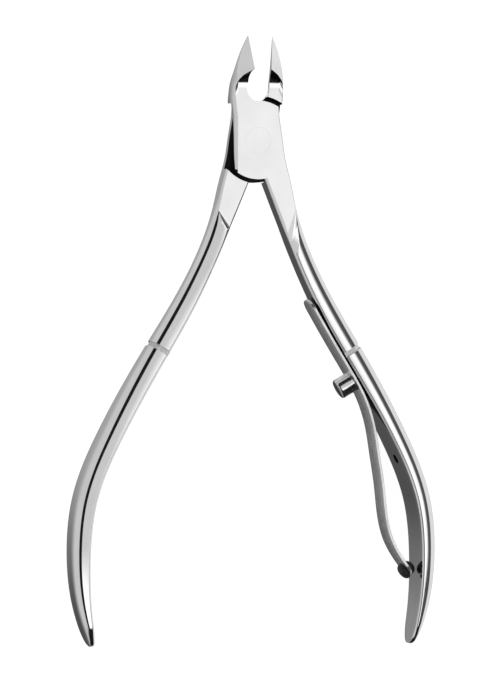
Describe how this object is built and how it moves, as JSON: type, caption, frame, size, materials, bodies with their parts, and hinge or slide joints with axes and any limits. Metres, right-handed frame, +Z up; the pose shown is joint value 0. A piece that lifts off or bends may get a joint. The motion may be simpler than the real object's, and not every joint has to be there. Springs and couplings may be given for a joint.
{
  "type": "cuticle nipper",
  "caption": "Polished steel cuticle nipper with lapped levers, proud cutting jaws, curved handles and a leaf spring with a rubber bumper screwed to one handle.",
  "frame": {"origin": "on the supporting surface, under the middle of the object's box, with the nipper lying on its back", "axes": "+Z up along the pivot, out of the front face; +Y towards the jaws; +X towards the handle that carries the spring"},
  "size_m": [0.0714, 0.1148, 0.0098],
  "materials": {
    "polished_steel": "mirror polished stainless steel, blade facets satin ground",
    "spring_steel": "bright rolled spring strip with fine lengthwise lines",
    "screw_steel": "turned bright steel",
    "black_rubber": "matt black"
  },
  "bodies": {
    "front": {"front_lever": "polished_steel", "pivot_rivet": "polished_steel", "spring_tail": "spring_steel", "spring_screw": "screw_steel"},
    "rear": {"rear_lever": "polished_steel"},
    "leaf": {"spring_arm": "spring_steel", "spring_bumper": "black_rubber"}
  },
  "joints": [
    {"name": "lever_pivot", "type": "hinge", "parent": "front", "child": "rear", "pos_m": [0, 0.0377, 0.0046], "axis": [0, 0, 1], "range_deg": [-12, 13.3]},
    {"name": "spring_flex", "type": "hinge", "parent": "front", "child": "leaf", "pos_m": [0.02188, -0.01135, 0.0046], "axis": [0, 0, 1], "range_deg": [-14, 0], "stiffness_Nm_per_rad": 0.02, "springref_deg": 2.86}
  ]
}
